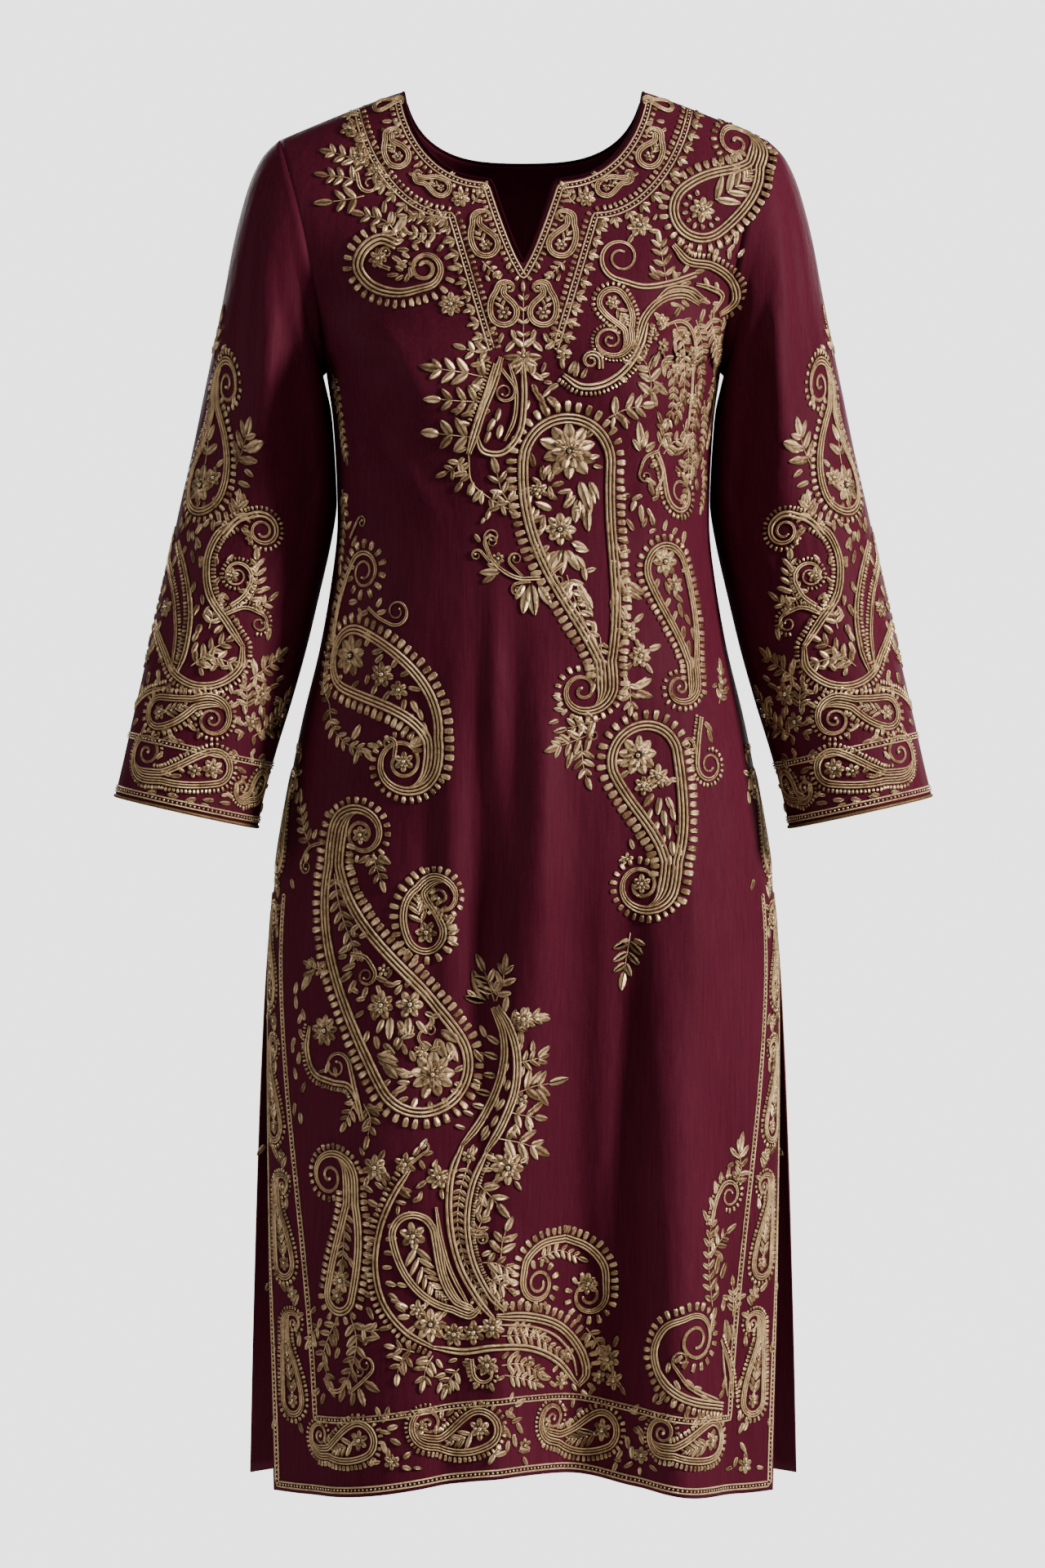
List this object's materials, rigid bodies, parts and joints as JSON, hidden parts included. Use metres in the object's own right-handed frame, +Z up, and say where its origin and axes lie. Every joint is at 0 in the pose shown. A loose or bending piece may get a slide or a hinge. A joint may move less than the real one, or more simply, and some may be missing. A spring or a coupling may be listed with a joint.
{
  "type": "kurta tunic",
  "caption": "Knee-length tunic with a notched round neck, three-quarter sleeves, side slits and raised gold paisley embroidery, hollow in its worn form.",
  "frame": {"origin": "midway between the two neck points, where the shoulder seams meet the neck, at their height; the wearer's shoulders carry it there", "axes": "+Z up along the body, -Y towards the front, +X towards the wearer's left"},
  "size_m": [0.6186, 0.2457, 1.0583],
  "materials": {
    "cloth": "burgundy cotton silk with a soft satin sheen",
    "binding": "dark burgundy rouleau of the same cloth",
    "piping": "bronze brown cord piping",
    "gold_thread": "antique gold metal thread, couched and satin stitched"
  },
  "bodies": {
    "root": {"back": "cloth", "border_braid_inner": "gold_thread", "border_braid_outer": "gold_thread", "cuff_braid_lower_left": "gold_thread", "cuff_braid_lower_right": "gold_thread", "cuff_braid_upper_left": "gold_thread", "cuff_braid_upper_right": "gold_thread", "cuff_piping_left": "piping", "cuff_piping_right": "piping", "front": "cloth", "neck_binding": "binding", "neck_braid_inner_back": "gold_thread", "neck_braid_inner_front": "gold_thread", "neck_braid_outer_back": "gold_thread", "neck_braid_outer_left": "gold_thread", "neck_braid_outer_right": "gold_thread", "paisley_arm_left": "gold_thread", "paisley_arm_right": "gold_thread", "paisley_bust": "gold_thread", "paisley_chest": "gold_thread", "paisley_cuff_left": "gold_thread", "paisley_cuff_right": "gold_thread", "paisley_hem": "gold_thread", "paisley_hip": "gold_thread", "paisley_knee": "gold_thread", "paisley_side": "gold_thread", "paisley_thigh": "gold_thread", "sleeve_left": "cloth", "sleeve_right": "cloth"}
  },
  "joints": []
}
